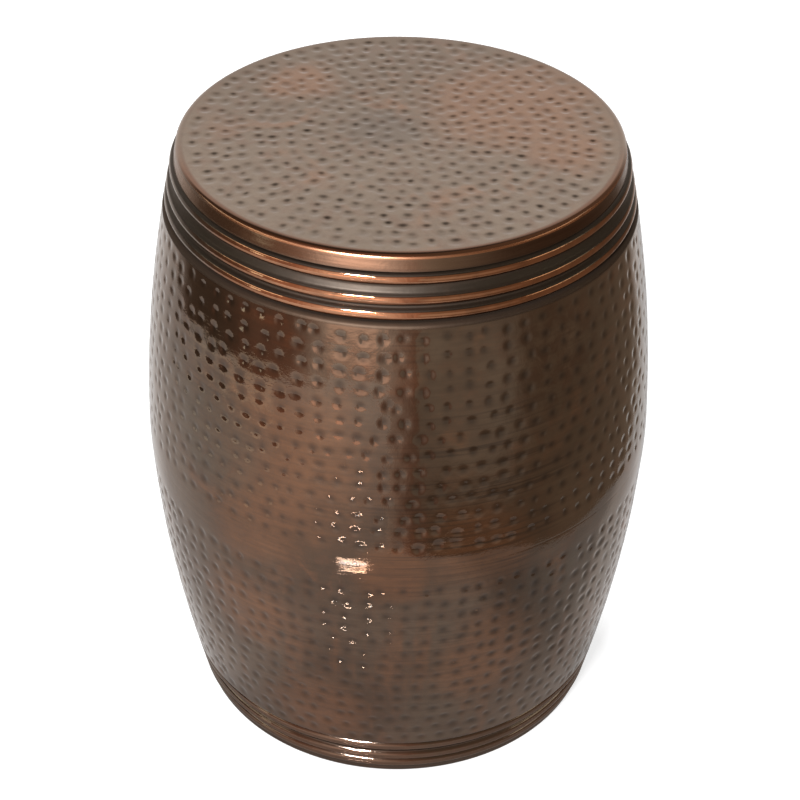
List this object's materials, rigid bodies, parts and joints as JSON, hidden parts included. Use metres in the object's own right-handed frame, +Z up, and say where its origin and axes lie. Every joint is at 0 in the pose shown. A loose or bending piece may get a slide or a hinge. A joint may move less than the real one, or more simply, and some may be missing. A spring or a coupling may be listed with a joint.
{
  "type": "drum side table",
  "caption": "Barrel-shaped hammered sheet-metal side table with a flat round top, rolled beads at both ends, an open base and push-in rubber feet; antique copper finish.",
  "frame": {"origin": "on the floor, at the middle of the drum, where the rubber feet stand", "axes": "+Z up along the drum's axis; +X to the right and -Y towards the viewer of the picture"},
  "size_m": [0.366, 0.366, 0.457],
  "materials": {
    "antique_copper": "gloss",
    "mild_steel": "satin",
    "weld_metal": "satin",
    "black_rubber": "matte"
  },
  "bodies": {
    "root": {"top_panel": "antique_copper", "top_seam_weld": "weld_metal", "upper_shell": "antique_copper", "belly_weld": "antique_copper", "lower_shell": "antique_copper", "brace_bar": "mild_steel", "brace_arm_1": "mild_steel", "brace_arm_2": "mild_steel", "brace_joint_welds": "weld_metal", "brace_end_welds": "weld_metal", "rubber_foot_1": "black_rubber", "rubber_foot_2": "black_rubber", "rubber_foot_3": "black_rubber", "rubber_foot_4": "black_rubber"}
  },
  "joints": []
}
